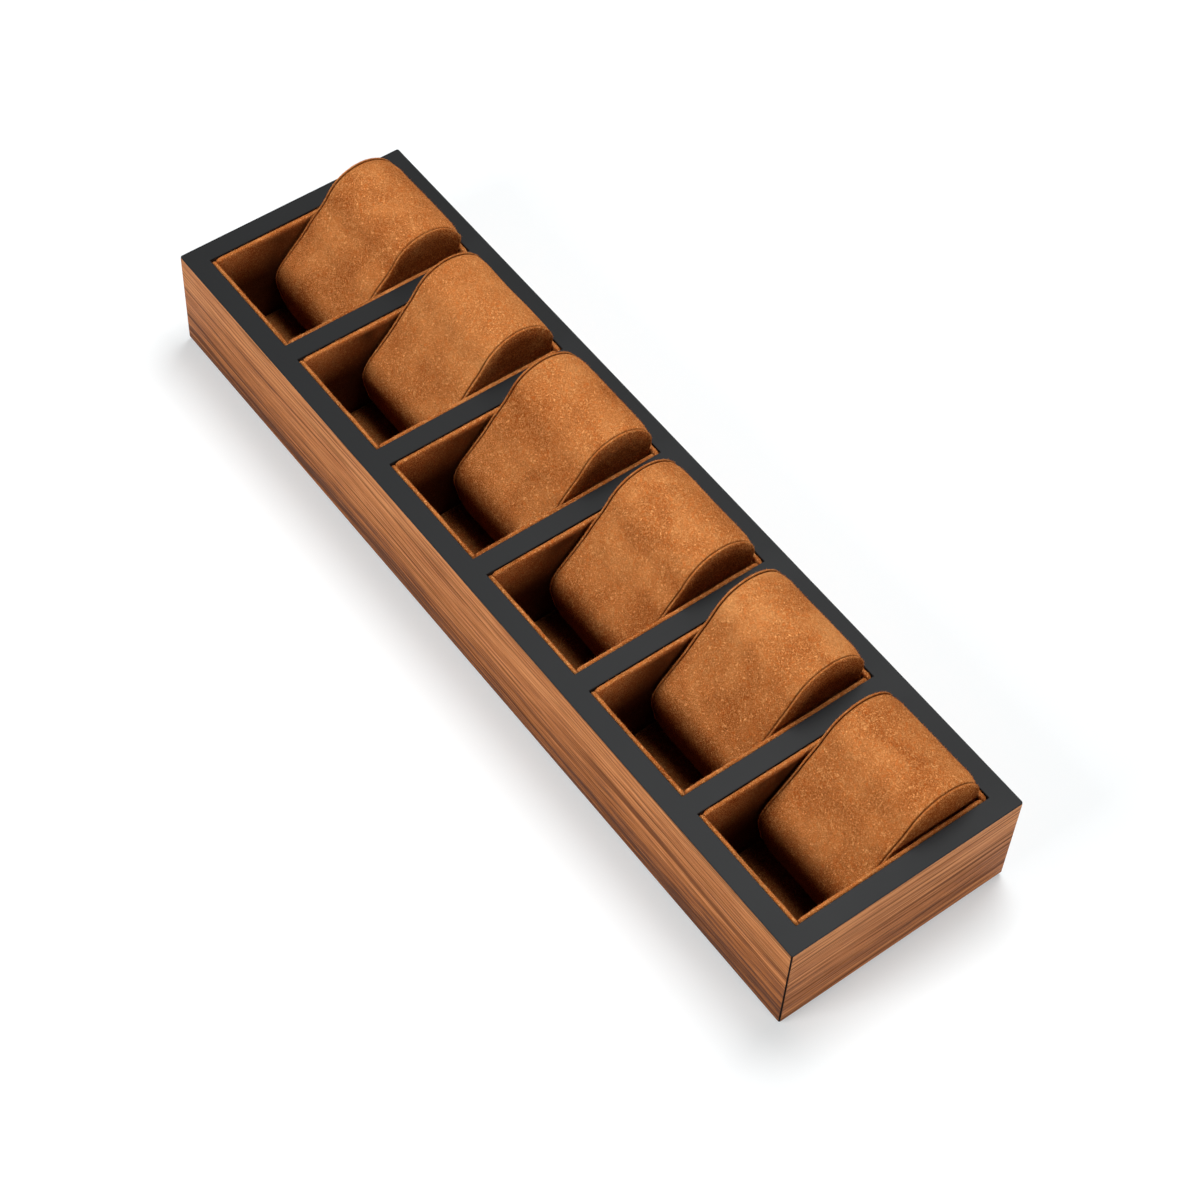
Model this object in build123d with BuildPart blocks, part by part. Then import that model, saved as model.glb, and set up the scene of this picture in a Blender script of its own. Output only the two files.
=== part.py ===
"""A watch display tray: a veneered tray of six lined compartments, each with a loose watch pillow.

X runs along the tray, Y from its front to its back and Z up. The origin is at the middle of the
underside. All sizes are in millimetres and all angles in degrees.
"""

import os
from math import asin, atan2, cos, degrees, hypot, radians, sin, sqrt, tan

from build123d import *

os.makedirs("parts", exist_ok=True)

# The tray as a whole
compartment_count = 6
opening_length = 57.0  # along X, in the top frame
opening_depth = 92.0  # along Y, in the top frame
bar_width = 9.0
border_width = 9.0
tray_height = 52.0

# The case
plate_thickness = 0.5  # a black laminate that covers the top edges of the veneers
plate_corner_radius = 1.0
plate_edge_chamfer = 0.15
veneer_thickness = 2.0
mitre_gap = 1.0  # between two veneers, where the black core shows at an upright corner
eased_corner_radius = 0.6
eased_edge_radius = 1.8
felt_thickness = 0.6
felt_inset = 1.5
felt_corner_radius = 2.0
panel_thickness = 3.0
rabbet_width = 4.0
panel_clearance = 0.1
housing_depth = 2.0
housing_clearance = 0.1

# The lining of a compartment
liner_thickness = 1.8
liner_clearance = 0.3
liner_corner_gap = 0.1
liner_edge_radius = 0.7
liner_below_plate = 0.3
pad_thickness = 1.6
pad_clearance = 0.2

# A pillow, seen from its side
pillow_side_clearance = 1.4
pillow_seat_clearance = 0.3
finger_room = 24.4  # in front of the nose
crown_radius = 18.8
crown_height = 46.1  # centre of the crown over the foot
nose_radius = 13.5
nose_height = 18.6  # centre of the nose over the foot
slope_hollow = 6.0  # how far each end of the front slope turns in from a straight one
slope_bend_radius = 45.0
nose_lean = 13.0
foot_length = 20.0
back_face_height = 28.0  # from the foot to the lower end of the back face
toe_radius = 4.0
heel_radius = 10.0
back_radius = 8.0

# The layers of a pillow
pillow_swell = 0.7  # how far the padded strip stands proud between the cheeks
swell_flank = 4.0  # how far in from its edge the strip has swollen to the full
wrap_thickness = 0.8
cheek_thickness = 1.0
seam_width = 0.2

# Sizes that follow from those above
pitch = opening_length + bar_width
field_length = compartment_count * opening_length + (compartment_count - 1) * bar_width
tray_length = field_length + 2 * border_width
tray_depth = opening_depth + 2 * border_width
rail_bottom = felt_thickness
rail_top = tray_height - plate_thickness
panel_top = rail_bottom + panel_thickness
liner_top = tray_height - liner_below_plate
liner_outer_y = opening_depth / 2 - liner_clearance
liner_outer_x = opening_length / 2 - liner_clearance
liner_inner_y = liner_outer_y - liner_thickness
liner_inner_x = liner_outer_x - liner_thickness
pad_top = panel_top + pad_thickness
compartment_centres = [
    (number - (compartment_count - 1) / 2) * pitch for number in range(compartment_count)
]
divider_centres = [centre + pitch / 2 for centre in compartment_centres[:-1]]
pillow_half_width = liner_inner_x - pillow_side_clearance
foam_half_width = pillow_half_width - cheek_thickness
wrap_half_width = foam_half_width - seam_width
foot_z = pad_top + pillow_seat_clearance + pillow_swell
back_y = liner_inner_y - pillow_seat_clearance - pillow_swell


def save(piece, name):
    """Label a finished piece and write it to its own file."""
    piece.part.label = name
    export_step(piece.part, f"parts/{name}.step")


def along(point, angle, distance):
    """The point that lies a distance from another, in the direction of an angle."""
    return (
        point[0] + distance * cos(radians(angle)),
        point[1] + distance * sin(radians(angle)),
    )


def crossing(first, first_slope, second, second_slope):
    """Where two lines cross, each given by a point and the angle of its slope."""
    rise = tan(radians(first_slope))
    other_rise = tan(radians(second_slope))
    run = (second[1] - first[1] - other_rise * (second[0] - first[0])) / (rise - other_rise)
    return (first[0] + run, first[1] + rise * run)


def pillow_slice(x, growth):
    """An upright slice across a pillow at x, larger than its cheeks by the growth."""
    crown_centre = (back_y - crown_radius, foot_z + crown_height)
    nose_y = finger_room - liner_inner_y + pillow_swell + nose_radius
    nose_centre = (nose_y, foot_z + nose_height)
    run = crown_centre[0] - nose_centre[0]
    rise = crown_centre[1] - nose_centre[1]
    straight_slope = degrees(
        atan2(rise, run) + asin((crown_radius - nose_radius) / hypot(rise, run))
    )
    upper_slope = straight_slope + slope_hollow
    lower_slope = straight_slope - slope_hollow
    crown_front = along(crown_centre, 90 + upper_slope, crown_radius)
    crown_back = along(crown_centre, 0, crown_radius)
    nose_top = along(nose_centre, 90 + lower_slope, nose_radius)
    nose_bottom = along(nose_centre, 180 + nose_lean, nose_radius)
    bend = crossing(crown_front, upper_slope, nose_top, lower_slope)
    toe = crossing(nose_bottom, nose_lean - 90, (0, foot_z), 0)
    heel = (toe[0] + foot_length, foot_z)
    back_low = (back_y, foot_z + back_face_height)
    with BuildSketch(Plane.YZ.offset(x)) as section:
        with BuildLine():
            CenterArc(crown_centre, crown_radius, 0, 90 + upper_slope)
            FilletPolyline(crown_front, bend, nose_top, radius=slope_bend_radius)
            CenterArc(nose_centre, nose_radius, 90 + lower_slope, 90 + nose_lean - lower_slope)
            FilletPolyline(
                nose_bottom,
                toe,
                heel,
                back_low,
                crown_back,
                radius=[toe_radius, heel_radius, back_radius],
            )
        make_face()
        if growth:
            offset(amount=growth)
    return section.sketch


# The outer shape of the veneered rails: a block with its upright and lower edges eased
with BuildPart() as envelope:
    with BuildSketch(Plane.XY.offset(rail_bottom)):
        Rectangle(tray_length, tray_depth)
    extrude(amount=rail_top - rail_bottom)
    fillet(envelope.edges().filter_by(Axis.Z), radius=eased_corner_radius)
    fillet(envelope.faces().sort_by(Axis.Z)[0].edges(), radius=eased_edge_radius)


def mitred_board(length, outer_y, inner_y):
    """An upright board in front of the tray's middle, its ends cut to 45 degrees.

    The length is that of its outer face, which stands at -outer_y.
    """
    inner_length = length - 2 * (outer_y - inner_y)
    with BuildPart() as board:
        with BuildSketch(Plane.XY.offset(rail_bottom)):
            with BuildLine():
                Polyline(
                    (-length / 2, -outer_y),
                    (length / 2, -outer_y),
                    (inner_length / 2, -inner_y),
                    (-inner_length / 2, -inner_y),
                    close=True,
                )
            make_face()
        extrude(amount=rail_top - rail_bottom)
    return board.part


def rail(name, length, half_span, turn, housings):
    """One mitred rail, rabbeted for the base and housed for the dividers' ends.

    It is drawn as the front rail and turned into its place. The length is that of the tray's side,
    half_span is half the tray's size across it, and the housings are the dividers' centres.
    """
    outer_y = half_span - veneer_thickness
    inner_y = half_span - border_width
    with BuildPart() as piece:
        add(mitred_board(length - 2 * veneer_thickness, outer_y, inner_y))
        with BuildSketch(Plane.XY.offset(rail_bottom)):
            with Locations((0, -inner_y)):
                Rectangle(length, 2 * rabbet_width)
        extrude(amount=panel_thickness, mode=Mode.SUBTRACT)
        if housings:
            with BuildSketch(Plane.XY.offset(panel_top)):
                with Locations([(centre, -inner_y) for centre in housings]):
                    Rectangle(bar_width + 2 * housing_clearance, 2 * housing_depth)
            extrude(amount=rail_top - panel_top, mode=Mode.SUBTRACT)
        add(piece.part.rotate(Axis.Z, turn), mode=Mode.REPLACE)
        add(envelope.part, mode=Mode.INTERSECT)
    save(piece, name)


def veneer(name, length, half_span, turn):
    """One thick sheet of veneer on the outer face of its rail, short of the corner's mitre."""
    outer_length = length - sqrt(2) * mitre_gap
    board = mitred_board(outer_length, half_span, half_span - veneer_thickness)
    with BuildPart() as piece:
        add(board.rotate(Axis.Z, turn))
        add(envelope.part, mode=Mode.INTERSECT)
    save(piece, name)


rail("front_rail", tray_length, tray_depth / 2, 0, divider_centres)
rail("back_rail", tray_length, tray_depth / 2, 180, divider_centres)
rail("left_end_rail", tray_depth, tray_length / 2, -90, [])
rail("right_end_rail", tray_depth, tray_length / 2, 90, [])
veneer("front_veneer", tray_length, tray_depth / 2, 0)
veneer("back_veneer", tray_length, tray_depth / 2, 180)
veneer("left_end_veneer", tray_depth, tray_length / 2, -90)
veneer("right_end_veneer", tray_depth, tray_length / 2, 90)

# The black plate with an opening over each compartment
with BuildPart() as top_frame:
    with BuildSketch(Plane.XY.offset(rail_top)):
        RectangleRounded(tray_length, tray_depth, plate_corner_radius)
        with Locations([(centre, 0) for centre in compartment_centres]):
            Rectangle(opening_length, opening_depth, mode=Mode.SUBTRACT)
    extrude(amount=plate_thickness)
    upper_face = top_frame.faces().sort_by(Axis.Z)[-1]
    chamfer(upper_face.outer_wire().edges(), length=plate_edge_chamfer)
save(top_frame, "top_frame")

# The thin board that closes the tray below
with BuildPart() as base_panel:
    with BuildSketch(Plane.XY.offset(rail_bottom)):
        Rectangle(
            field_length + 2 * (rabbet_width - panel_clearance),
            opening_depth + 2 * (rabbet_width - panel_clearance),
        )
    extrude(amount=panel_thickness)
save(base_panel, "base_panel")

# The felt that the tray stands on
with BuildPart() as base_felt:
    with BuildSketch():
        RectangleRounded(
            tray_length - 2 * felt_inset, tray_depth - 2 * felt_inset, felt_corner_radius
        )
    extrude(amount=felt_thickness)
save(base_felt, "base_felt")

# The dividers, housed in the long rails
for number, centre in enumerate(divider_centres, start=1):
    with BuildPart() as divider:
        with BuildSketch(Plane.XY.offset(panel_top)):
            with Locations((centre, 0)):
                Rectangle(bar_width, opening_depth + 2 * (housing_depth - housing_clearance))
        extrude(amount=rail_top - panel_top)
    save(divider, f"divider_{number}")


def lining_board(name, places, length, depth):
    """Upright lining boards of one size, the suede folded round over their long top edges."""
    with BuildPart() as boards:
        with BuildSketch(Plane.XY.offset(panel_top)):
            with Locations(places):
                Rectangle(length, depth)
        extrude(amount=liner_top - panel_top)
        top_edges = boards.faces().sort_by(Axis.Z)[-len(places) :].edges()
        long_edges = top_edges.sort_by(SortBy.LENGTH)[-2 * len(places) :]
        fillet(long_edges, radius=liner_edge_radius)
    save(boards, name)


def lining(number, centre):
    """The four lining boards and the floor pad of one compartment."""
    long_side_y = liner_outer_y - liner_thickness / 2
    short_side_x = liner_outer_x - liner_thickness / 2
    side_length = 2 * (liner_inner_y - liner_corner_gap)
    width = 2 * liner_outer_x
    lining_board(f"front_liner_{number}", [(centre, -long_side_y)], width, liner_thickness)
    lining_board(f"back_liner_{number}", [(centre, long_side_y)], width, liner_thickness)
    side_places = [(centre - short_side_x, 0), (centre + short_side_x, 0)]
    lining_board(f"side_liners_{number}", side_places, liner_thickness, side_length)
    with BuildPart() as floor_pad:
        with BuildSketch(Plane.XY.offset(panel_top)):
            with Locations((centre, 0)):
                Rectangle(2 * (liner_inner_x - pad_clearance), 2 * (liner_inner_y - pad_clearance))
        extrude(amount=pad_thickness)
    save(floor_pad, f"floor_pad_{number}")


def pillow(number, centre):
    """The foam, the padded strip and the two cheeks of one pillow."""
    foam_slice = pillow_slice(centre, -wrap_thickness)
    wrap_slices = [
        pillow_slice(centre - wrap_half_width, 0),
        pillow_slice(centre - wrap_half_width + swell_flank, pillow_swell),
        pillow_slice(centre + wrap_half_width - swell_flank, pillow_swell),
        pillow_slice(centre + wrap_half_width, 0),
    ]
    cheek_slice = pillow_slice(centre + foam_half_width, 0)

    with BuildPart() as foam:
        extrude(foam_slice, amount=foam_half_width, both=True)
    save(foam, f"pillow_foam_{number}")

    with BuildPart() as wrap:
        loft(wrap_slices, ruled=True)
        extrude(foam_slice, amount=foam_half_width, both=True, mode=Mode.SUBTRACT)
    save(wrap, f"pillow_wrap_{number}")

    with BuildPart() as cheeks:
        extrude(cheek_slice, amount=cheek_thickness)
        mirror(about=Plane.YZ.offset(centre))
    save(cheeks, f"pillow_cheeks_{number}")


for number, centre in enumerate(compartment_centres, start=1):
    lining(number, centre)
    pillow(number, centre)
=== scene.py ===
"""The looks of a watch display tray, built round its packed model.

The tray has six suede-lined compartments in a walnut-veneered case under a black top plate, and a
loose suede pillow in each. X runs along the tray, Y from its front to its back and Z up. All
lengths are in metres, from the middle of the underside.
"""

import itertools
import math

import bmesh
import bpy
from bpy.props import FloatProperty, FloatVectorProperty, IntProperty, PointerProperty
from mathutils import Matrix, Vector, noise


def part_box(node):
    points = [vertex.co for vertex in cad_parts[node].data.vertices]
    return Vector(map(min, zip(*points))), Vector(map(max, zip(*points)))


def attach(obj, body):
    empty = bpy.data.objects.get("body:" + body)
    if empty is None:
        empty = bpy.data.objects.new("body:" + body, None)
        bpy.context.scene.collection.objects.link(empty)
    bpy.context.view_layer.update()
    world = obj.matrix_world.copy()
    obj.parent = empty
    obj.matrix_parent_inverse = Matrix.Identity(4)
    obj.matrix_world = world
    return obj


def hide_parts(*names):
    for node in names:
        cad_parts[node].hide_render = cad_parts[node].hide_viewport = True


bl_info = {
    "name": "Watch display tray",
    "version": (1, 0, 0),
    "blender": (4, 5, 0),
    "location": "3D View > Sidebar > Watch tray",
    "description": "Dresses the packed watch tray in walnut, black laminate and suede",
    "category": "Object",
}

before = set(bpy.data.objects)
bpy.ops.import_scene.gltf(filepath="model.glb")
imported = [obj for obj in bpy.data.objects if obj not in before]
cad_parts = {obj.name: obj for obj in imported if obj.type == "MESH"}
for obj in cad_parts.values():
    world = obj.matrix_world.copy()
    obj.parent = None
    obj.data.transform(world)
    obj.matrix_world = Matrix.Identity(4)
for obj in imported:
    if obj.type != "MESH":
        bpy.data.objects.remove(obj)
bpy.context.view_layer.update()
compartment_count = sum(name.startswith("floor_pad_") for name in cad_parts)
compartments = range(1, compartment_count + 1)


# Vertices nearer to each other than this are one.
same_place = 1e-6


def rgb(red, green, blue):
    """A colour as a designer reads it off a screen, 0 to 255, turned into the linear values of a shader."""
    def linear(value):
        value /= 255
        return value / 12.92 if value <= 0.04045 else ((value + 0.055) / 1.055) ** 2.4

    return (linear(red), linear(green), linear(blue))


def colour_property(name, description, default):
    return FloatVectorProperty(
        name=name, description=description, default=default, subtype="COLOR", min=0, max=1
    )


def length_property(name, description, default):
    return FloatProperty(
        name=name, description=description, default=default, min=0, precision=5, unit="LENGTH"
    )


def share_property(name, description, default):
    """A setting from 0, none, to 1, all."""
    return FloatProperty(name=name, description=description, default=default, min=0, max=1)


def power_property(name, description, default):
    return FloatProperty(name=name, description=description, default=default, min=0, unit="POWER")


def each_pillow_property(name, description, default, **limits):
    """A setting with one value for each pillow, from the far end of the tray to the near one."""
    return FloatVectorProperty(
        name=name, description=description, default=default, size=compartment_count, **limits
    )


class StageSettings(bpy.types.PropertyGroup):
    """Camera, lamps and floor."""

    floor_colour: colour_property("Floor", "Colour of the floor as the tray sees it", (0.93,) * 3)
    floor_seen: colour_property(
        "Floor as seen", "Colour that the camera sees beside the glow", (0.590, 0.602, 0.608)
    )
    floor_glow: share_property(
        "Floor glow", "White that the camera sees even in the floor's shadows", 0.424
    )
    glow_colour: colour_property("Glow", "Colour of that white", (0.955, 0.991, 1.0))
    glow_start: length_property("Glow start", "From here the floor fades to white, as a sweep does", 0.4)
    floor_drop: length_property("Floor drop", "Air between the felt and the floor", 0.0001)
    key_power: power_property("Key lamp", "Power of the high lamp behind the tray", 15.4)
    front_power: power_property("Front lamp", "Power of the lamp halfway up in front", 7.0)
    low_power: power_property("Low front lamp", "Power of the low lamp on the long side", 2.3)
    end_power: power_property("Low end lamp", "Power of the low lamp on the near end", 4.2)
    sky_strength: share_property("Sky", "Strength of the even light from all round", 0.02)
    camera_place: FloatVectorProperty(
        name="Camera place", description="Where the camera stands",
        default=(0.5181, -0.4221, 0.9255), subtype="TRANSLATION", unit="LENGTH",
    )
    camera_turn: FloatVectorProperty(
        name="Camera turn", description="How the camera is turned",
        default=[math.radians(angle) for angle in (35.592, -2.382, 53.110)], subtype="EULER",
    )
    lens: FloatProperty(
        name="Lens", description="Focal length on a sensor 36 mm wide", default=84.116, min=1,
        unit="CAMERA",
    )


class CaseFinish(bpy.types.PropertyGroup):
    """Walnut, black plate and black boards."""

    walnut_light: colour_property("Light walnut", "Early wood of the veneers", rgb(208, 138, 80))
    walnut_mid: colour_property("Walnut", "Body colour of the veneers", rgb(170, 98, 40))
    walnut_dark: colour_property("Dark walnut", "Growth lines of the veneers", rgb(84, 42, 14))
    # Painted shade: the veneers' tone is lowered toward the foot.
    long_foot_shade: share_property(
        "Long foot shade", "How much darker the long veneers are at the foot", 0.68
    )
    end_foot_shade: share_property(
        "End foot shade", "How much darker the end veneers are at the foot", 0.36
    )
    heartwood: share_property("Heartwood", "Darkness of the band low on the long veneers", 0.3)
    heartwood_height: length_property(
        "Heartwood height", "Middle of the dark band above the veneers' foot", 0.0075
    )
    # Painted shade: the long veneers' tone is lowered toward their near end.
    near_shade: share_property(
        "Near shade", "How much darker the long veneers are at their near end", 0.16
    )
    line_spacing: length_property("Line spacing", "From one growth line to the next", 0.0014)
    plate_colour: colour_property("Plate", "The black laminate on top", rgb(26, 27, 28))
    plate_bevel: length_property("Plate bevel", "How far the plate's edges are eased", 0.00018)
    veneer_bevel: length_property("Veneer bevel", "How far the veneers' edges are eased", 0.0003)
    mitre_draw: length_property("Mitre draw", "How far a veneer's end is drawn into its mitre", 0.00018)
    board_colour: colour_property("Board", "Black-stained boards under the veneer", rgb(30, 25, 22))
    felt_colour: colour_property("Felt", "Felt under the tray", rgb(42, 40, 39))
    panel_colour: colour_property("Base panel", "Bare fibreboard", rgb(150, 122, 92))
    foam_colour: colour_property("Foam", "Foam inside the pillows", rgb(222, 214, 190))


class SuedeFinish(bpy.types.PropertyGroup):
    """The microsuede of pillows and lining."""

    light: colour_property("Light nap", "Nap brushed towards the light", rgb(254, 177, 107))
    mid: colour_property("Nap", "Body colour of the suede", rgb(209, 120, 58))
    dark: colour_property("Dark nap", "Nap brushed away from the light", rgb(150, 69, 21))
    # The colour of seam folds, and of the painted shade that darkens the suede.
    seam: colour_property("Seam", "Suede in the fold of a seam", rgb(58, 23, 8))
    strand_size: length_property("Strand size", "Width of one curl of the nap", 0.00087)
    patch_size: length_property("Patch size", "Width of a brushed patch", 0.02)
    nap_depth: length_property("Nap depth", "Height of the nap's relief", 0.0002)
    fibre_length: length_property("Fibre length", "Length of a loose fibre", 0.0007)
    fibre_width: length_property("Fibre width", "Width of a loose fibre at its root", 0.00011)
    fibre_density: FloatProperty(
        name="Fibre density", description="Loose fibres on a square metre of napped edge",
        default=3.5e6, min=0,
    )
    fibre_lean: FloatProperty(
        name="Fibre lean", description="How far fibres lean, against how far they stand up",
        default=1.5, min=0,
    )


class LiningSizes(bpy.types.PropertyGroup):
    """Wrapped boards and floor pads of the compartments."""

    edge_radius: length_property("Edge radius", "Round of the folded top edge", 0.00088)
    grid: length_property("Grid", "Spacing of the mesh on a board", 0.0022)
    waver: length_property("Waver", "How far the suede strays from flat", 0.00018)
    corner_tuck: length_property("Corner tuck", "How far a board's end dips at a corner", 0.0013)
    # Painted shade: the lining's nap darkens below the rim, most at this depth.
    painted_shade_depth: length_property("Shade depth", "Where the nap is darkest, below the rim", 0.022)
    # Painted shade on the boards, where the pillows' flanks shade them.
    pillow_shade_from_to: FloatVectorProperty(
        name="Shaded from and to", description="Where the pillows' flanks shadow the boards",
        size=2, default=(-0.038, -0.012), unit="LENGTH",
    )
    # Painted shade on each floor pad in front of its pillow, as a share of the full shade.
    pad_painted_shade: each_pillow_property(
        "Pad darkness", "How flat each floor pad's nap is worn in front of its pillow",
        (0.2, 0.22, 0.35, 0.5, 0.6, 0.65), min=0, max=1,
    )
    # Painted shade on the floor pads under the pillows, and on the boards beside the pillows.
    pillow_painted_shade: share_property(
        "Painted shade", "How dark the nap is that a pillow has pressed flat", 0.8
    )


class PillowSizes(bpy.types.PropertyGroup):
    """Padded strip, cheeks and core of a pillow."""

    row_spacing: length_property("Row spacing", "Mesh rows round the pillow", 0.002)
    column_spacing: length_property("Column spacing", "Mesh columns across the strip", 0.002)
    seam_depth: length_property("Seam depth", "How deep the strip turns into its seams", 0.0008)
    seam_roll: length_property("Seam roll", "Width of the turned edge beside a seam", 0.0008)
    skin: length_property("Skin", "Thickness of the suede with its wadding", 0.0008)
    swell: length_property("Swell", "How far the padding stands proud of the cheeks", 0.0008)
    flank: length_property("Flank", "How far in from a seam the padding is full", 0.004)
    slack: length_property("Slack", "Most that the air pressure may move the strip", 0.0006)
    crown_lean: each_pillow_property(
        "Crown lean", "How far back each pillow's crown leans over the lining",
        (0.0026, 0.0016, 0.0020, 0.0016, 0.0014, 0.0018), unit="LENGTH",
    )
    crown_rise: each_pillow_property(
        "Crown rise", "How much higher or lower each pillow is stuffed",
        (-0.0004, 0.0006, 0.0010, 0.0, 0.0011, -0.0026), unit="LENGTH",
    )
    nose_tuck: length_property("Nose tuck", "How far the nose is drawn in", 0.0012)
    pressure: FloatProperty(
        name="Pressure", description="Pressure of the padding while the strip is simulated",
        default=3.0, min=0,
    )
    steps: IntProperty(
        name="Steps", description="Frames of the simulation", default=20, min=1
    )
    crown_ease: share_property("Crown ease", "How much fainter the seams are over the crown", 0.4)
    nose_ease: share_property("Nose ease", "How much flatter the seams are round the nose", 0.7)
    # Painted shade low on the pillow's nose.
    painted_under_shade: share_property(
        "Under shade", "How dark the shadowed nap under the nose is", 0.6
    )
    # Painted light: how much each pillow's tone is raised over its crown, lowered where the value is below
    # 0.
    crown_painted_light: each_pillow_property(
        "Crown shine", "How much the nap stands up over each pillow's crown",
        (-0.1, 0.3, 0.25, 0.35, 0.9, 0.15), min=-1, max=1,
    )
    # Painted shade on the cheeks, strongest below cheek_shade_from.
    cheek_shade_from: length_property("Cheek shade from", "Cheeks are darkest below this height", 0.05)
    cheek_shade_to: length_property("Cheek shade to", "Cheeks are lightest above this height", 0.068)
    rim_radius: length_property("Rim radius", "Round of a cheek's rim", 0.0005)
    seat_gap: length_property("Seat gap", "Air left under a pillow and behind it", 0.0002)


def feed(tree, node, inputs):
    """Give a node's inputs, by name or number, their values or linked sockets."""
    for key, value in inputs.items():
        if isinstance(value, bpy.types.NodeSocket):
            tree.links.new(value, node.inputs[key])
        else:
            node.inputs[key].default_value = value


def new_node(tree, kind, inputs=None, **settings):
    """A new node with its settings and its inputs."""
    made = tree.nodes.new(kind)
    for key, value in settings.items():
        setattr(made, key, value)
    feed(tree, made, inputs or {})
    return made


def maths(tree, operation, first, second=0.0, third=0.0):
    """The result of a Math node on up to three values or sockets."""
    made = new_node(tree, "ShaderNodeMath", {0: first, 1: second, 2: third}, operation=operation)
    return made.outputs[0]


def scaled(tree, value, factor, more):
    """A value times a factor, with more added."""
    return maths(tree, "MULTIPLY_ADD", value, factor, more)


def clamped(tree, value):
    """A value kept from 0 to 1."""
    return new_node(tree, "ShaderNodeClamp", {"Value": value}).outputs[0]


def vector_maths(tree, operation, first, second):
    """The result of a Vector Math node on two vectors or sockets."""
    made = new_node(tree, "ShaderNodeVectorMath", {0: first, 1: second}, operation=operation)
    return made.outputs[0]


def noise_at(tree, place, scale, detail, **more):
    """The value of a noise texture at a place, with more of its inputs by name."""
    inputs = {"Vector": place, "Scale": scale, "Detail": detail, **more}
    return new_node(tree, "ShaderNodeTexNoise", inputs).outputs["Fac"]


def mapped(tree, value, source, target, smooth=False):
    """A value that goes from one end of the target to the other as another crosses the source."""
    inputs = {
        "Value": value,
        "From Min": source[0],
        "From Max": source[1],
        "To Min": target[0],
        "To Max": target[1],
    }
    way = "SMOOTHSTEP" if smooth else "LINEAR"
    made = new_node(tree, "ShaderNodeMapRange", inputs, interpolation_type=way)
    return made.outputs["Result"]


def new_group(name, kind, inputs, outputs):
    """A node group with named sockets, and the nodes that stand for its two ends.

    An input is its name, the kind of its socket and, where it has one, its default.
    """
    group = bpy.data.node_groups.new(name, kind)
    for socket_name, socket, *default in inputs:
        made = group.interface.new_socket(
            socket_name, in_out="INPUT", socket_type=f"NodeSocket{socket}"
        )
        if default:
            made.default_value = default[0]
    for socket_name, socket in outputs:
        group.interface.new_socket(
            socket_name, in_out="OUTPUT", socket_type=f"NodeSocket{socket}"
        )
    return group, group.nodes.new("NodeGroupInput"), group.nodes.new("NodeGroupOutput")


def colour_between(tree, factor, first, second):
    """A colour between two, by a factor."""
    inputs = {0: factor}
    for index, colour in ((6, first), (7, second)):
        linked = isinstance(colour, bpy.types.NodeSocket)
        inputs[index] = colour if linked else (*colour, 1)
    return new_node(tree, "ShaderNodeMix", inputs, data_type="RGBA").outputs[2]


def nap_group(name):
    """Brushed nap: curls about one strand wide, and wider patches that were stroked one way."""
    group, start, end = new_group(
        name,
        "ShaderNodeTree",
        [("Place", "Vector"), ("Strand size", "Float", 0.001), ("Patch size", "Float", 0.012)],
        [("Strands", "Float"), ("Patches", "Float")],
    )
    place = start.outputs["Place"]
    per_strand = maths(group, "DIVIDE", 1.0, start.outputs["Strand size"])
    per_patch = maths(group, "DIVIDE", 1.0, start.outputs["Patch size"])
    # The curls are thin ridges where a noise crosses its middle value.
    curls = noise_at(group, place, per_strand, 1.0, Distortion=1.4)
    off_ridge = maths(group, "ABSOLUTE", scaled(group, curls, 2.0, -1.0))
    ridges = clamped(group, scaled(group, off_ridge, -9.0, 1.3))
    flecks = noise_at(group, place, maths(group, "MULTIPLY", per_strand, 1.7), 1.0)
    strands = scaled(group, ridges, 1.2, scaled(group, flecks, 1.2, -0.5))
    broad = noise_at(group, place, per_patch, 2.0, Distortion=0.6)
    feed(group, end, {"Strands": strands, "Patches": scaled(group, broad, 3.0, -1.0)})
    return group


def timber_group(name):
    """Straight walnut figure along X: growth lines, broad bands, and dark streaks with hairs."""
    group, start, end = new_group(
        name,
        "ShaderNodeTree",
        [("Place", "Vector"), ("Line spacing", "Float", 0.0014)],
        [("Lines", "Float"), ("Bands", "Float"), ("Streaks", "Float")],
    )
    place = start.outputs["Place"]
    per_line = maths(group, "DIVIDE", 1.0, start.outputs["Line spacing"])
    drifts_per_metre, wander = 40.0, 0.005
    slow = vector_maths(group, "MULTIPLY", place, (0.25, 1, 1))
    drift = noise_at(group, slow, drifts_per_metre, 0.0)
    aside = {"Z": scaled(group, drift, wander, -wander / 2)}
    shift = new_node(group, "ShaderNodeCombineXYZ", aside).outputs[0]
    wandered = vector_maths(group, "ADD", place, shift)

    def noise_along(stretch, to_a_line, detail, roughness=0.5):
        """Noise drawn out along the grain, with so many of it to a growth line."""
        drawn_out = vector_maths(group, "MULTIPLY", wandered, (stretch, 1, 1))
        scale = maths(group, "MULTIPLY", per_line, to_a_line)
        return noise_at(group, drawn_out, scale, detail, Roughness=roughness)

    def dark_below(value, level, hardness):
        """Above 0 where a value falls below a level."""
        return maths(group, "MULTIPLY", maths(group, "SUBTRACT", level, value), hardness)

    streaks = dark_below(noise_along(0.012, 0.7, 1.0), 0.42, 8.0)
    hairs = maths(group, "MINIMUM", dark_below(noise_along(0.016, 1.4, 2.0), 0.455, 10.0), 0.9)
    outputs = {
        "Lines": scaled(group, noise_along(0.017, 1.0, 4.0, 0.9), 4.8, -1.83),
        "Bands": scaled(group, noise_along(0.03, 0.12, 2.0), 3.0, -1.0),
        "Streaks": clamped(group, maths(group, "MAXIMUM", streaks, hairs)),
    }
    feed(group, end, outputs)
    return group


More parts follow.
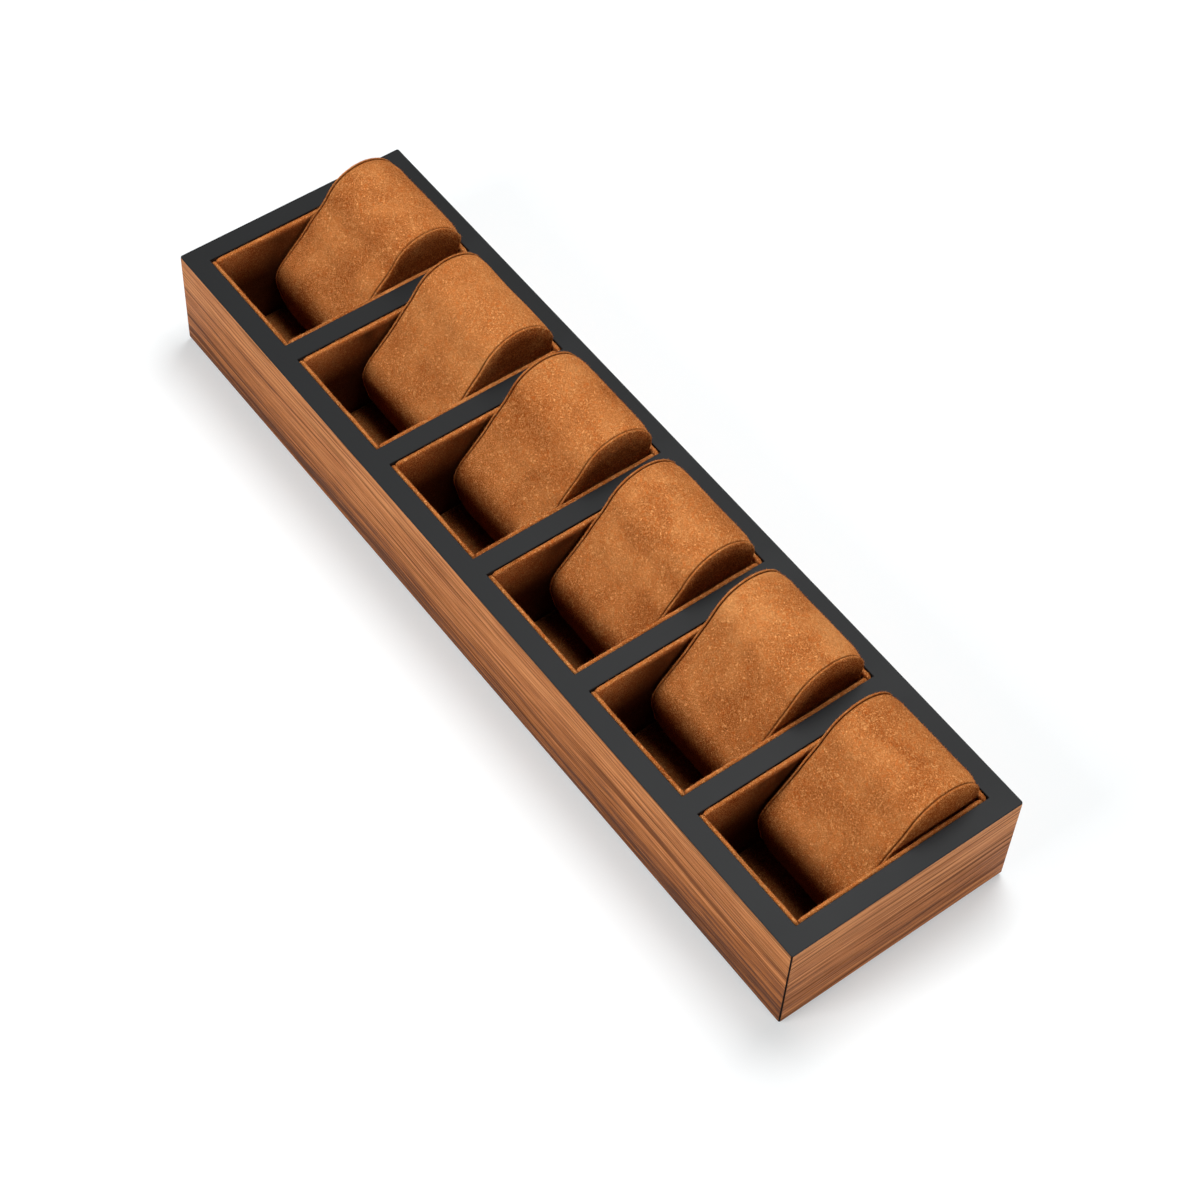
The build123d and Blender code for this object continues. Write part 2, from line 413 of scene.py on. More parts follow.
def speck_group(name):
    """Fine even grain and faint clouds, for laminate, stained board, felt and foam."""
    group, start, end = new_group(
        name,
        "ShaderNodeTree",
        [("Place", "Vector"), ("Grain size", "Float", 0.0003), ("Cloud size", "Float", 0.03)],
        [("Grain", "Float"), ("Clouds", "Float")],
    )
    for output, size, detail in (("Grain", "Grain size", 2.0), ("Clouds", "Cloud size", 3.0)):
        scale = maths(group, "DIVIDE", 1.0, start.outputs[size])
        feed(group, end, {output: noise_at(group, start.outputs["Place"], scale, detail)})
    return group


def shared(store, name, build, *details):
    """What the file stores under a name, built the first time that it is asked for."""
    return store.get(name) or build(name, *details)


def placed_group(tree, name, build, place, **sizes):
    """A shared node group in a material, with this material's own sizes."""
    made = tree.nodes.new("ShaderNodeGroup")
    made.node_tree = shared(bpy.data.node_groups, name, build)
    inputs = {key.replace("_", " ").capitalize(): size for key, size in sizes.items()}
    feed(tree, made, {"Place": place, **inputs})
    return made.outputs


def new_material(name):
    """A material with one Principled shader, its tree and the Object coordinates."""
    made = bpy.data.materials.new(name)
    made.use_nodes = True
    tree = made.node_tree
    shader = tree.nodes["Principled BSDF"]
    place = tree.nodes.new("ShaderNodeTexCoord").outputs["Object"]
    return made, tree, shader, place


def relief(tree, height, distance):
    """The normals of a surface whose height changes by up to a distance."""
    made = new_node(tree, "ShaderNodeBump", {"Height": height, "Distance": distance})
    return made.outputs["Normal"]


def attribute(tree, name):
    """The value that a mesh stores under a name, 0 where it stores none."""
    return new_node(tree, "ShaderNodeAttribute", attribute_name=name).outputs["Fac"]


def three_tones(tree, tone, dark, mid, light):
    """A colour from dark at a tone of 0 over mid at a half to light at 1."""
    darker = colour_between(tree, clamped(tree, maths(tree, "MULTIPLY", tone, 2.0)), dark, mid)
    return colour_between(tree, clamped(tree, scaled(tree, tone, 2.0, -1.0)), darker, light)


def suede_material(name, with_painted_shade=False):
    """Microsuede in three tones of nap, dark in its seams, with painted light and shade on it and painted
    shade that darkens it deep in the tray.
    """
    finish = bpy.context.scene.tray_suede
    made, tree, shader, place = new_material(name)
    nap = placed_group(
        tree, "Brushed nap", nap_group, place,
        strand_size=finish.strand_size, patch_size=finish.patch_size,
    )
    patch_share, strand_share, painted_light_share, darkest = 0.35, 0.66, 0.2, 0.09
    brushed = scaled(tree, nap["Patches"], patch_share, darkest)
    curled = scaled(tree, nap["Strands"], strand_share, brushed)
    # Painted light and shade: the Painted light attribute raises or lowers the nap's tone.
    tone = scaled(tree, attribute(tree, "Raised"), painted_light_share, curled)
    colour = three_tones(tree, tone, finish.dark, finish.mid, finish.light)
    # Seam darkens the nap: in folds partly their own darkness and partly painted shade in the crease,
    # elsewhere painted shade alone.
    uneven = scaled(tree, nap["Patches"], 0.4, 0.8)
    fold = maths(tree, "MULTIPLY", attribute(tree, "Seam"), uneven)
    colour = colour_between(tree, fold, colour, finish.seam)
    # Painted shade: the lining's nap darkens further below the rim.
    if with_painted_shade:
        colour = colour_between(tree, painted_depth_shade(tree, place), colour, finish.seam)
    inputs = {
        "Base Color": colour,
        "Roughness": 1.0,
        "Specular IOR Level": 0.0,
        "Sheen Weight": 0.06,
        "Sheen Roughness": 0.4,
        "Sheen Tint": (1.0, 0.42, 0.14, 1),
        "Normal": relief(tree, nap["Strands"], finish.nap_depth),
    }
    feed(tree, shader, inputs)
    return made


def painted_depth_shade(tree, place):
    """How much painted shade darkens the lining's nap deep in a compartment, from 0 at the rim."""
    rim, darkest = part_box("front_liner_1")[1].z, 0.85
    deep = rim - bpy.context.scene.tray_lining.painted_shade_depth
    upright = new_node(tree, "ShaderNodeSeparateXYZ", {0: place}).outputs["Z"]
    return mapped(tree, upright, (rim, deep), (0.0, darkest))


def walnut_material(name, turn, foot_shade, heartwood, near_shade):
    """Satin-lacquered walnut whose grain runs along X, turned about the upright for the ends.

    foot_shade says how much painted shade lowers its tone at the foot against the rim, heartwood
    how dark the growth band close above the foot is, and near_shade how much painted shade darkens
    the sheet towards +X.
    """
    finish = bpy.context.scene.tray_case
    made, tree, shader, place = new_material(name)
    turned = new_node(tree, "ShaderNodeMapping", {"Vector": place, "Rotation": (0, 0, turn)})
    figure = placed_group(
        tree, "Walnut figure", timber_group, turned.outputs[0], line_spacing=finish.line_spacing
    )
    low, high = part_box("front_veneer")
    axes = new_node(tree, "ShaderNodeSeparateXYZ", {0: place}).outputs
    # Painted shade, lower on the veneers.
    graded = mapped(tree, axes["Z"], (low.z, high.z), (-0.5 * foot_shade, 0.5 * foot_shade))
    above_band = maths(tree, "SUBTRACT", axes["Z"], low.z + finish.heartwood_height)
    from_band = maths(tree, "ABSOLUTE", above_band)
    in_band = mapped(tree, from_band, (0.0, finish.heartwood_height), (1.0, 0.0), smooth=True)
    # Painted shade towards +X on the long veneers.
    nearing = mapped(tree, axes["X"], (0.0, high.x), (0.0, -near_shade), smooth=True)
    shade = maths(tree, "ADD", scaled(tree, in_band, -heartwood, graded), nearing)
    line_share, band_share, streak_share, pore_depth = 0.76, 0.25, 0.7, 0.00003
    banded = scaled(tree, figure["Bands"], band_share, shade)
    tone = scaled(tree, figure["Lines"], line_share, banded)
    wood = three_tones(tree, tone, finish.walnut_dark, finish.walnut_mid, finish.walnut_light)
    streaks = maths(tree, "MULTIPLY", figure["Streaks"], streak_share)
    inputs = {
        "Base Color": colour_between(tree, streaks, wood, finish.walnut_dark),
        "Roughness": scaled(tree, figure["Streaks"], 0.15, 0.45),
        "Specular IOR Level": 0.08,
        "Normal": relief(tree, maths(tree, "SUBTRACT", 1.0, figure["Streaks"]), pore_depth),
    }
    feed(tree, shader, inputs)
    return made


def plain_material(
    name, colour, grain_size, cloud_size, contrast, roughness, grain_depth, gloss=0.5
):
    """A single-coloured finish with fine grain in its tone, gloss and relief."""
    made, tree, shader, place = new_material(name)
    specks = placed_group(
        tree, "Fine grain", speck_group, place, grain_size=grain_size, cloud_size=cloud_size
    )
    grain_share, cloud_share, rough_span = 0.6, 0.4, 0.2
    clouds = maths(tree, "MULTIPLY", specks["Clouds"], cloud_share)
    both = scaled(tree, specks["Grain"], grain_share, clouds)
    darker = [value * (1 - contrast) for value in colour]
    lighter = [min(1, value * (1 + contrast)) for value in colour]
    inputs = {
        "Base Color": colour_between(tree, both, darker, lighter),
        "Roughness": scaled(tree, both, rough_span, roughness - rough_span / 2),
        "Specular IOR Level": gloss,
        "Normal": relief(tree, specks["Grain"], grain_depth),
    }
    feed(tree, shader, inputs)
    return made


def pillow_suede():
    return shared(bpy.data.materials, "pillow suede", suede_material)


def lining_suede():
    return shared(bpy.data.materials, "lining suede", suede_material, True)


def suede_shape():
    """An empty mesh whose vertices will say how their suede is folded and napped, and where light and shade
    are painted on it.
    """
    mesh = bmesh.new()
    for name in ("Seam", "Nap", "Raised"):
        mesh.verts.layers.float.new(name)
    return mesh


def suede_vertex(mesh, place, seam, nap, raised=0.0):
    """A new vertex of suede.

    seam goes from 0 on the open suede to 1 in a fold, and also carries painted shade; nap goes from
    bare to thick with loose fibres. raised is above 0 where a highlight is painted and below 0
    where shade is painted.
    """
    vert = mesh.verts.new(place)
    for name, value in (("Seam", seam), ("Nap", nap), ("Raised", raised)):
        vert[mesh.verts.layers.float[name]] = value
    return vert


def mesh_data(name, mesh):
    """Mesh data made from an edited mesh, which is then freed."""
    data = bpy.data.meshes.new(name)
    mesh.to_mesh(data)
    mesh.free()
    return data


def new_object(name, data):
    """A new object of the scene."""
    made = bpy.data.objects.new(name, data)
    bpy.context.scene.collection.objects.link(made)
    return made


def new_piece(name, mesh, body, replaced, material):
    """A finished mesh as a piece of the tray that rides on a body and stands for CAD nodes."""
    data = mesh_data(name, mesh)
    data.materials.append(material)
    data.shade_smooth()
    return piece_of(name, data, body, replaced)


def piece_of(name, data, body, replaced=()):
    """A finished mesh of Blender's as a piece that rides on a body."""
    piece = new_object(name, data)
    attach(piece, body)
    if replaced:
        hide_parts(*replaced)
    return piece


def give_material(node_name, material):
    """A CAD node keeps its shape and gets a better material."""
    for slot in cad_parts[node_name].material_slots:
        slot.material = material


def skin_rings(mesh, rings):
    """Faces between rings of vertices that have equal counts and follow one another."""
    for first, second in zip(rings, rings[1:]):
        corners = first, first[1:] + first[:1], second[1:] + second[:1], second
        for face in zip(*corners):
            mesh.faces.new(face)


def skin_and_close(mesh, rings):
    """Faces between rings of vertices, and over the first and the last ring."""
    skin_rings(mesh, rings)
    mesh.faces.new(reversed(rings[0]))
    mesh.faces.new(rings[-1])


def merged_copy(node_name):
    """A CAD node's mesh, its loose triangles joined where they meet."""
    mesh = bmesh.new()
    mesh.from_mesh(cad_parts[node_name].data)
    bmesh.ops.remove_doubles(mesh, verts=mesh.verts, dist=same_place)
    return mesh


def cheek_outline():
    """The outline of a pillow's cheek as the CAD model has it: (y, z) points, once round."""
    mesh = merged_copy("pillow_cheeks_1")
    outer_x = max(vert.co.x for vert in mesh.verts)
    flat = {face for face in mesh.faces if all(outer_x - v.co.x < same_place for v in face.verts)}
    border = [edge for edge in mesh.edges if len(flat.intersection(edge.link_faces)) == 1]
    edge = border[0]
    vert = edge.verts[0]
    points = []
    for _ in border:
        points.append(Vector((vert.co.y, vert.co.z)))
        vert = edge.other_vert(vert)
        edge = next(e for e in vert.link_edges if e in border and e != edge)
    mesh.free()
    area = sum(a.cross(b) for a, b in zip(points, points[1:] + points[:1]))
    return points if area > 0 else points[::-1]


def evenly_spaced(points, spacing):
    """A closed line's points, moved to equal steps along it."""
    closed = points + points[:1]
    lengths = [(b - a).length for a, b in zip(closed, closed[1:])]
    total = sum(lengths)
    count = round(total / spacing)
    spaced = []
    index, passed = 0, 0.0
    for step in range(count):
        target = total * step / count
        while passed + lengths[index] < target:
            passed += lengths[index]
            index += 1
        share = (target - passed) / lengths[index]
        spaced.append(closed[index].lerp(closed[index + 1], share))
    return spaced


def neighbours(points):
    """The points before and after each point of a closed line."""
    return points[-1:] + points[:-1], points[1:] + points[:1]


def smoothed(points, rounds):
    """A closed line with its facets smoothed away."""
    for _ in range(rounds):
        before, after = neighbours(points)
        points = [(a + 2 * p + b) / 4 for a, p, b in zip(before, points, after)]
    return points


def outward_normals(points):
    """The outward direction at each point of a closed line that runs anticlockwise."""
    tangents = [(after - before).normalized() for before, after in zip(*neighbours(points))]
    return [Vector((tangent.y, -tangent.x)) for tangent in tangents]


def smooth_rise(value, start, end):
    """From 0 at the start to 1 at the end, without a corner at either."""
    share = min(1.0, max(0.0, (value - start) / (end - start)))
    return share * share * (3 - 2 * share)


def ripple(place, to_a_metre, seed, axis):
    """A smooth random value at a place, whose pattern a seed shifts along an axis."""
    shift = Vector()
    shift[axis] = seed
    return noise.noise(place * to_a_metre + shift)


def pillow_outline(number, spacing):
    """A pillow's outline in even steps, with the outward direction at each.

    It is that of the CAD model, but the crown leans back over the lining, rises or sinks with its
    stuffing, and the nose is drawn in.
    """
    sizes = bpy.context.scene.tray_pillow
    lean, rise = sizes.crown_lean[number - 1], sizes.crown_rise[number - 1]
    fine_spacing, rounds = 0.0005, 16
    fine = smoothed(evenly_spaced(cheek_outline(), fine_spacing), rounds)
    top, foot = max(point.y for point in fine), min(point.y for point in fine)
    nose, back = min(point.x for point in fine), max(point.x for point in fine)
    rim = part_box(f"back_liner_{number}")[1].z
    lean_from, lean_to, rise_from = rim - 0.002, rim + 0.008, foot + 0.01
    for point in fine:
        from_nose = smooth_rise(point.x, nose, (nose + back) / 2)
        leaning = lean * smooth_rise(point.y, lean_from, lean_to)
        point.x += leaning + sizes.nose_tuck * (1 - from_nose)
        point.y += rise * smooth_rise(point.y, rise_from, top)
    points = evenly_spaced(fine, spacing)
    return points, outward_normals(points)


def pillow_place(number):
    """The middle of a pillow along X, and half its width, from its cheeks."""
    low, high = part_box(f"pillow_cheeks_{number}")
    return (low.x + high.x) / 2, (high.x - low.x) / 2


def strip_columns(half_width, sizes):
    """(x, depth, seam) across the padded strip, from seam to seam over its outside.

    A depth below 0 stands proud, and seam goes from 1 in the fold to 0 on the open suede. After
    them comes the number of columns that turn into each seam.
    """
    roll, deep, allowance = sizes.seam_roll, sizes.seam_depth, 0.0004
    turned = [(half_width + allowance, deep, 1.0)]
    # The turned edge darkens into the seam: partly the fold's own darkness, partly painted shade in the
    # crease.
    for angle, seam in ((0.0, 1.0), (0.55, 0.6), (1.1, 0.12), (math.pi / 2, 0.0)):
        x = half_width - roll * (1 - math.cos(angle))
        turned.append((x, deep * (1 - math.sin(angle)), seam))
    flat_half = turned[-1][0]
    steps = round(2 * flat_half / sizes.column_spacing)
    inner = []
    for step in range(1, steps):
        x = flat_half * (1 - 2 * step / steps)
        full = min(1, min(flat_half - x, flat_half + x) / sizes.flank)
        inner.append((x, -sizes.swell * math.sin(math.pi / 2 * full), 0.0))
    left = [(-x, depth, seam) for x, depth, seam in reversed(turned)]
    return turned + inner + left, len(turned)


class TRAY_OT_stage(bpy.types.Operator):
    """Make the floor, the lamps and the camera"""

    bl_idname = "tray.stage"
    bl_label = "Stage"

    def execute(self, context):
        settings = context.scene.tray_stage
        self.floor(settings)
        self.sky(context.scene, settings.sky_strength)
        for name, power, azimuth, elevation, size in (
            ("key lamp", settings.key_power, 113, 72, 0.66),
            ("front lamp", settings.front_power, -90, 36, 0.5),
            ("low front lamp", settings.low_power, -90, 12, 0.5),
            ("low end lamp", settings.end_power, 0, 16, 0.5),
        ):
            self.lamp(name, power, azimuth, elevation, size)
        camera = new_object("camera", bpy.data.cameras.new("camera"))
        camera.location = settings.camera_place
        camera.rotation_euler = settings.camera_turn
        camera.data.lens = settings.lens
        camera.data.clip_start = 0.05
        context.scene.camera = camera
        context.scene.view_settings.view_transform = "Standard"
        return {"FINISHED"}

    def floor(self, settings):
        """A white floor that lights the sides as it should, and whose shadows the camera sees softly."""
        half_width = 4.0
        mesh = bmesh.new()
        bmesh.ops.create_grid(mesh, x_segments=1, y_segments=1, size=half_width)
        data = mesh_data("floor", mesh)
        data.transform(Matrix.Translation((0, 0, -settings.floor_drop)))
        made, tree, shader, place = new_material("white floor")
        seen = self.seen(tree)
        away = new_node(tree, "ShaderNodeVectorMath", {0: place}, operation="LENGTH")
        reach = settings.glow_start, 2 * settings.glow_start
        glow = mapped(tree, away.outputs["Value"], reach, (settings.floor_glow, 1.0))
        inputs = {
            "Base Color": colour_between(tree, seen, settings.floor_colour, settings.floor_seen),
            "Emission Color": (*settings.glow_colour, 1),
            "Emission Strength": maths(tree, "MULTIPLY", seen, glow),
            "Roughness": 0.9,
            "Specular IOR Level": 0.0,
        }
        feed(tree, shader, inputs)
        data.materials.append(made)
        new_object("floor", data)

    def sky(self, scene, strength):
        """Even light on the object, and plain white wherever the backdrop is seen."""
        world = bpy.data.worlds.new("sky")
        world.use_nodes = True
        tree = world.node_tree
        share = scaled(tree, self.seen(tree), 1.0 - strength, strength)
        feed(tree, tree.nodes["Background"], {"Color": (1, 1, 1, 1), "Strength": share})
        scene.world = world

    def seen(self, tree):
        """1 for a ray from the camera, straight, mirrored or let through, and 0 for light on its way."""
        ray = tree.nodes.new("ShaderNodeLightPath").outputs
        passed = maths(tree, "MAXIMUM", ray["Is Glossy Ray"], ray["Is Transmission Ray"])
        return maths(tree, "MAXIMUM", ray["Is Camera Ray"], passed)

    def lamp(self, name, power, azimuth, elevation, size):
        """An area lamp that looks at the tray from a direction in degrees, azimuth from +X to +Y."""
        distance = 1.3
        turn, rise = math.radians(azimuth), math.radians(elevation)
        level = distance * math.cos(rise)
        place = Vector((level * math.cos(turn), level * math.sin(turn), distance * math.sin(rise)))
        holder = new_object(name, bpy.data.lights.new(name, "AREA"))
        holder.data.energy = power
        holder.data.size = size
        holder.location = place
        holder.rotation_euler = (-place).to_track_quat("-Z", "Y").to_euler()


class TRAY_OT_case(bpy.types.Operator):
    """Give the boards, base and felt their finishes"""

    bl_idname = "tray.case"
    bl_label = "Case"

    def execute(self, context):
        finish = context.scene.tray_case
        stained = plain_material(
            "stained board", finish.board_colour, grain_size=0.0006, cloud_size=0.01,
            contrast=0.4, roughness=0.7, grain_depth=0.00003, gloss=0.15,
        )
        felt = plain_material(
            "pressed felt", finish.felt_colour, grain_size=0.0004, cloud_size=0.008,
            contrast=0.5, roughness=0.95, grain_depth=0.0001,
        )
        fibreboard = plain_material(
            "fibreboard", finish.panel_colour, grain_size=0.0009, cloud_size=0.02,
            contrast=0.25, roughness=0.85, grain_depth=0.00004,
        )
        for side in ("front", "back", "left_end", "right_end"):
            give_material(f"{side}_rail", stained)
        for number in range(1, compartment_count):
            give_material(f"divider_{number}", stained)
        give_material("base_felt", felt)
        give_material("base_panel", fibreboard)
        return {"FINISHED"}


def eased_copy(node_name, bevel):
    """A CAD node's mesh with every sharp edge eased."""
    mesh = merged_copy(node_name)
    flat, sharp = math.radians(1), math.radians(40)
    bmesh.ops.dissolve_limit(mesh, angle_limit=flat, verts=mesh.verts, edges=mesh.edges)
    edges = [edge for edge in mesh.edges if edge.calc_face_angle(0.0) > sharp]
    bmesh.ops.bevel(
        mesh, geom=edges, offset=bevel, segments=2, affect="EDGES", clamp_overlap=True
    )
    return mesh


class TRAY_OT_veneers(bpy.types.Operator):
    """Make the four walnut veneers, with their edges eased and their mitres drawn together"""

    bl_idname = "tray.veneers"
    bl_label = "Veneers"

    def execute(self, context):
        finish = context.scene.tray_case
        along = walnut_material(
            "walnut along", 0.0, finish.long_foot_shade, finish.heartwood, finish.near_shade
        )
        quarter_turn = math.radians(90)
        across = walnut_material("walnut across", quarter_turn, finish.end_foot_shade, 0.0, 0.0)
        for side, axis, walnut in (
            ("front", 0, along), ("back", 0, along), ("left_end", 1, across), ("right_end", 1, across)
        ):
            node_name = f"{side}_veneer"
            mesh = eased_copy(node_name, finish.veneer_bevel)
            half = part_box(node_name)[1][axis]
            for vert in mesh.verts:
                vert.co[axis] *= (half + finish.mitre_draw) / half
            veneer = new_piece(f"{side}_wood", mesh, "tray", [node_name], walnut)
            veneer.data.shade_flat()
        return {"FINISHED"}


class TRAY_OT_mitre_splines(bpy.types.Operator):
    """Make the black strip that closes each mitre behind its open line"""

    bl_idname = "tray.mitre_splines"
    bl_label = "Mitre splines"

    def execute(self, context):
        low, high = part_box("front_veneer")
        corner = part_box("top_frame")[1]
        half_width, depth, set_back = 0.0003, 0.0012, 0.0011
        mesh = bmesh.new()
        for sign_x, sign_y in itertools.product((-1, 1), repeat=2):
            outward = Vector((sign_x, sign_y, 0)).normalized()
            aside = Vector((-outward.y, outward.x, 0)) * half_width
            outer = Vector((sign_x * corner.x, sign_y * corner.y, 0)) - outward * set_back
            inner = outer - outward * depth
            section = [outer + aside, outer - aside, inner - 2 * aside, inner + 2 * aside]
            rings = [
                [mesh.verts.new((p.x, p.y, level)) for p in section]
                for level in (low.z, (low.z + high.z) / 2, high.z)
            ]
            skin_and_close(mesh, rings)
        bmesh.ops.recalc_face_normals(mesh, faces=mesh.faces)
        stained = bpy.data.materials["stained board"]
        new_piece("mitre_splines", mesh, "tray", [], stained).data.shade_flat()
        return {"FINISHED"}


class TRAY_OT_top_plate(bpy.types.Operator):
    """Make the black plate, with every edge eased"""

    bl_idname = "tray.top_plate"
    bl_label = "Top plate"

    def execute(self, context):
        finish = context.scene.tray_case
        laminate = plain_material(
            "black laminate", finish.plate_colour, grain_size=0.00025, cloud_size=0.05,
            contrast=0.12, roughness=0.5, grain_depth=0.000008, gloss=0.12,
        )
        mesh = eased_copy("top_frame", finish.plate_bevel)
        plate = new_piece("top_plate", mesh, "tray", ["top_frame"], laminate)
        plate.data.shade_flat()
        return {"FINISHED"}


def board_section(thickness, bottom, top, radius, grid):
    """(across, up) round a wrapped board: up its seen face, over its fold and down its back."""
    half, fold_foot, arc_steps = thickness / 2, top - radius, 5
    fold = []
    for step in range(arc_steps + 1):
        angle = math.pi / 2 * step / arc_steps
        fold.append((half - radius + radius * math.cos(angle), fold_foot + radius * math.sin(angle)))
    rows = round((fold_foot - bottom) / grid)
    face = [(half, bottom + (fold_foot - bottom) * row / rows) for row in range(rows)]
    back = [(-across, up) for across, up in reversed(fold)] + [(-half, bottom)]
    return face + fold + back


def wrapped_board(mesh, start, end, section, sizes, seed):
    """A suede-wrapped board from one end to the other, its seen face to the left of that way.

    start and end are (x, y) at the middle of its thickness.
    """
    along = Vector((end[0] - start[0], end[1] - start[1], 0))
    length = along.length
    along.normalize()
    seen = Vector((-along.y, along.x, 0))
    origin = Vector((*start, 0))
    near_ends, tucked = (0.0, 0.0004, 0.001), 0.0018
    columns = round((length - 2 * tucked) / sizes.grid)
    middle = [tucked + (length - 2 * tucked) * c / columns for c in range(columns + 1)]
    steps = [*near_ends, *middle, *[length - value for value in reversed(near_ends)]]
    top, fold = max(up for _, up in section), sizes.edge_radius
    waves, wrinkles, nicks = 90, 420, 600
    face_nap, napped, pinch, back_waver = 0.2, 0.014, 0.25, 0.3
    rings = []
    for step in steps:
        dip = (1 - min(1, min(step, length - step) / tucked)) ** 2
        ring = []
        for across, up in section:
            place = origin + along * step + seen * (across * (1 - pinch * dip))
            place.z = up - sizes.corner_tuck * dip if up > top - 3 * fold else up
            wave = ripple(place, waves, seed, 0)
            wave += 0.5 * ripple(place, wrinkles, seed, 1)
            place += seen * (sizes.waver * wave * (1 if across > 0 else back_waver))
            if up > top - fold:
                place.z += sizes.waver * 0.6 * ripple(place, nicks, seed, 2)
            folded = up > top - 2 * fold
            # Painted shade where the pillow's flank shades the board; fewer loose fibres stand there too.
            pillow_shaded = 0.0 if folded else smooth_rise(place.y, *sizes.pillow_shade_from_to)
            nap = 1.0 if folded else face_nap * (up > top - napped) * (1 - pillow_shaded)
            if across <= -section[0][0]:
                nap = 0.0
            ring.append(suede_vertex(mesh, place, sizes.pillow_painted_shade * pillow_shaded, nap))
        rings.append(ring)
    skin_and_close(mesh, rings)


class TRAY_OT_lining(bpy.types.Operator):
    """Make the suede-wrapped boards that line the compartments"""

    bl_idname = "tray.lining"
    bl_label = "Lining"

    def execute(self, context):
        for number in compartments:
            for side, way in (("front", 1), ("back", -1)):
                node_name = f"{side}_liner_{number}"
                low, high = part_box(node_name)
                middle = (low.y + high.y) / 2
                ends = [(low.x, middle), (high.x, middle)][::way]
                self.board(f"{side}_board_{number}", node_name, number, high.y - low.y, [ends])
            front_low, front_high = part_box(f"front_liner_{number}")
            thickness = front_high.y - front_low.y
            node_name = f"side_liners_{number}"
            low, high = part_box(node_name)
            left, right = low.x + thickness / 2, high.x - thickness / 2
            runs = [[(left, high.y), (left, low.y)], [(right, low.y), (right, high.y)]]
            self.board(f"side_boards_{number}", node_name, number, thickness, runs)
        return {"FINISHED"}

    def board(self, name, node_name, number, thickness, runs):
        """One or two wrapped boards, each from one end of its run to the other, as one piece."""
        sizes = bpy.context.scene.tray_lining
        low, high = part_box(node_name)
        section = board_section(thickness, low.z, high.z, sizes.edge_radius, sizes.grid)
        mesh = suede_shape()
        for index, (start, end) in enumerate(runs):
            wrapped_board(mesh, start, end, section, sizes, 10 * number + index)
        bmesh.ops.recalc_face_normals(mesh, faces=mesh.faces)
        new_piece(name, mesh, "tray", [node_name], lining_suede())


class TRAY_OT_floor_pads(bpy.types.Operator):
    """Make the suede pads on the compartments' floors"""

    bl_idname = "tray.floor_pads"
    bl_label = "Floor pads"

    def execute(self, context):
        for number in compartments:
            low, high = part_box(f"floor_pad_{number}")
            mesh = suede_shape()
            bottom = self.sheet(mesh, number, low, high, low.z)
            top = self.sheet(mesh, number, low, high, high.z)
            for near, far in zip(top, top[1:]):
                for corners in zip(near, near[1:], far[1:], far):
                    mesh.faces.new(corners)
            for near, far in zip(bottom, bottom[1:]):
                for corners in zip(near, far, far[1:], near[1:]):
                    mesh.faces.new(corners)
            skin_rings(mesh, [self.rim(bottom), self.rim(top)])
            pad = new_piece(
                f"floor_suede_{number}", mesh, "tray", [f"floor_pad_{number}"],
                pillow_suede(),
            )
        return {"FINISHED"}

    def sheet(self, mesh, number, low, high, level):
        """Rows of vertices at the underside's level, or at the top's, which rounds over and waves."""
        sizes = bpy.context.scene.tray_lining
        span, worn = high - low, sizes.pad_painted_shade[number - 1]
        columns, rows = round(span.x / sizes.grid), round(span.y / sizes.grid)
        round_over, waves, pressed_from, pressed_to = 0.004, 150, 0.02, 0.031
        made = [[] for _ in range(rows + 1)]
        for row, column in itertools.product(range(rows + 1), range(columns + 1)):
            u, v = column / columns, row / rows
            place = Vector((low.x + u * span.x, low.y + v * span.y, level))
            if level == high.z:
                from_edge = min(min(u, 1 - u) * span.x, min(v, 1 - v) * span.y)
                place.z -= sizes.edge_radius * (1 - min(1.0, from_edge / round_over)) ** 2
                place.z += sizes.waver * noise.noise(place * waves) - sizes.waver
            # Painted shade: the pad is darkened by its own share all over, and fully from the pillow's foot
            # back, where its tone is also lowered.
            pressed = smooth_rise(place.y - low.y, pressed_from, pressed_to)
            shade = sizes.pillow_painted_shade * (worn + (1 - worn) * pressed)
            made[row].append(suede_vertex(mesh, place, shade, 0.0, -pressed))
        return made

    def rim(self, sheet):
        """The outer vertices of a sheet, once round."""
        right = [row[-1] for row in sheet[:-1]]
        left = [row[0] for row in reversed(sheet[1:])]
        return [*sheet[0][:-1], *right, *reversed(sheet[-1][1:]), *left]


class TRAY_OT_pillow_cores(bpy.types.Operator):
    """Make the foam block inside each pillow"""

    bl_idname = "tray.pillow_cores"
    bl_label = "Pillow cores"

    def execute(self, context):
        foam = plain_material(
            "open foam", context.scene.tray_case.foam_colour, grain_size=0.0007,
            cloud_size=0.01, contrast=0.3, roughness=0.9, grain_depth=0.0002,
        )
        row_spacing, round_off, clearance = 0.004, 0.001, 0.0002
        inset = context.scene.tray_pillow.skin + clearance
        for number in compartments:
            points, normals = pillow_outline(number, row_spacing)
            centre, _ = pillow_place(number)
            low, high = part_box(f"pillow_foam_{number}")
            half = (high.x - low.x) / 2
            full = half - round_off
            mesh = bmesh.new()
            rings = []
            for x, depth in ((-half, round_off), (-full, 0), (full, 0), (half, round_off)):
                places = [p - n * (depth + inset) for p, n in zip(points, normals)]
                rings.append([mesh.verts.new((centre + x, p.x, p.y)) for p in places])
            skin_and_close(mesh, rings)
            bmesh.ops.recalc_face_normals(mesh, faces=mesh.faces)
            core = new_piece(
                f"pillow_core_{number}", mesh, f"pillow_{number}",
                [f"pillow_foam_{number}"], foam,
            )
        return {"FINISHED"}


